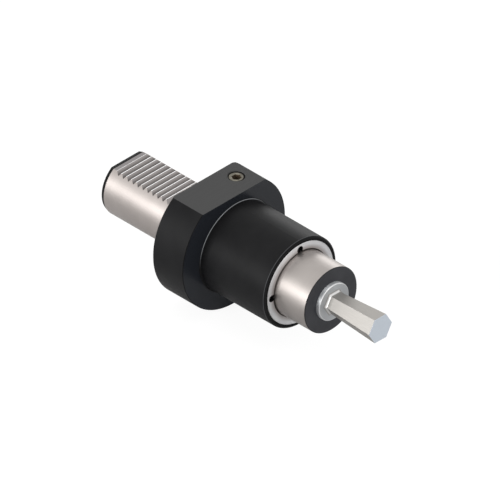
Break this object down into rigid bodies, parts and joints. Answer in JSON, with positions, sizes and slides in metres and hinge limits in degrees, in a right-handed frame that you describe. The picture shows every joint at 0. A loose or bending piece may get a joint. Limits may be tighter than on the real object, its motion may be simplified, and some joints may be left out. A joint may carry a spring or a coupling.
{
  "type": "rotary broach holder",
  "caption": "Rotary broach holder: serrated cylindrical shank, flange with a locating flat, and a leaning head with a free-running spindle that carries a hexagon broach.",
  "frame": {"origin": "where the shank's axis meets the rear contact face of the flange", "axes": "+X along the shank axis towards the cutting tip, the shank lies at -X; +Z is the normal of the serrated flat and of the flange flat; +Y across"},
  "size_m": [0.2067, 0.083, 0.0745],
  "materials": {
    "blackened_steel": "black-oxide steel, semi-gloss, shank ground bright",
    "nitrile_rubber": "matt black nitrile",
    "zinc_plated_screw": "plated screw",
    "satin_steel_ring": "satin turned steel",
    "pressed_steel": "pressed sheet steel",
    "ground_steel": "ground steel",
    "ground_spindle_steel": "ground steel, front face black-oxide",
    "blackened_nut": "black-oxide",
    "blackened_screw": "black-oxide",
    "ground_tool_steel": "ground tool steel, bright",
    "bearing_steel": "polished bearing steel"
  },
  "bodies": {
    "holder": {"base_body": "blackened_steel", "shank_o_ring": "nitrile_rubber", "coolant_port_o_ring": "nitrile_rubber", "coolant_plug_screw": "zinc_plated_screw", "retaining_ring": "satin_steel_ring", "seal_case": "pressed_steel", "seal_lip": "nitrile_rubber", "outer_spacer_sleeve": "ground_steel", "front_bearing_cup": "bearing_steel", "rear_bearing_cup": "bearing_steel"},
    "spindle": {"spindle": "ground_spindle_steel", "front_bearing_cone": "bearing_steel", "rear_bearing_cone": "bearing_steel", "inner_spacer_sleeve": "ground_steel", "lock_washer": "pressed_steel", "lock_nut": "blackened_nut"},
    "front_cage": {"front_bearing_rollers": "bearing_steel", "front_bearing_cage": "pressed_steel"},
    "rear_cage": {"rear_bearing_rollers": "bearing_steel", "rear_bearing_cage": "pressed_steel"},
    "clamp_screw": {"clamp_screw": "blackened_screw"},
    "broach": {"broach": "ground_tool_steel"}
  },
  "joints": [
    {"name": "spindle_turn", "type": "hinge", "parent": "holder", "child": "spindle", "pos_m": [0.1435, 0, 0], "axis": [0.9998, -0.0123, 0.0123], "continuous": true},
    {"name": "front_cage_turn", "type": "hinge", "parent": "holder", "child": "front_cage", "pos_m": [0.1435, 0, 0], "axis": [0.9998, -0.0123, 0.0123], "continuous": true},
    {"name": "rear_cage_turn", "type": "hinge", "parent": "holder", "child": "rear_cage", "pos_m": [0.1435, 0, 0], "axis": [0.9998, -0.0123, 0.0123], "continuous": true},
    {"name": "broach_pull", "type": "slide", "parent": "spindle", "child": "broach", "axis": [0.9998, -0.0123, 0.0123], "range_m": [0, 0.048]},
    {"name": "clamp_screw_travel", "type": "slide", "parent": "spindle", "child": "clamp_screw", "axis": [0.0169, 0.8659, -0.4999], "range_m": [0, 0.00125]}
  ],
  "couplings": [
    {"joint": "front_cage_turn", "follows": "spindle_turn", "ratio": 0.42287},
    {"joint": "rear_cage_turn", "follows": "spindle_turn", "ratio": 0.42287}
  ]
}
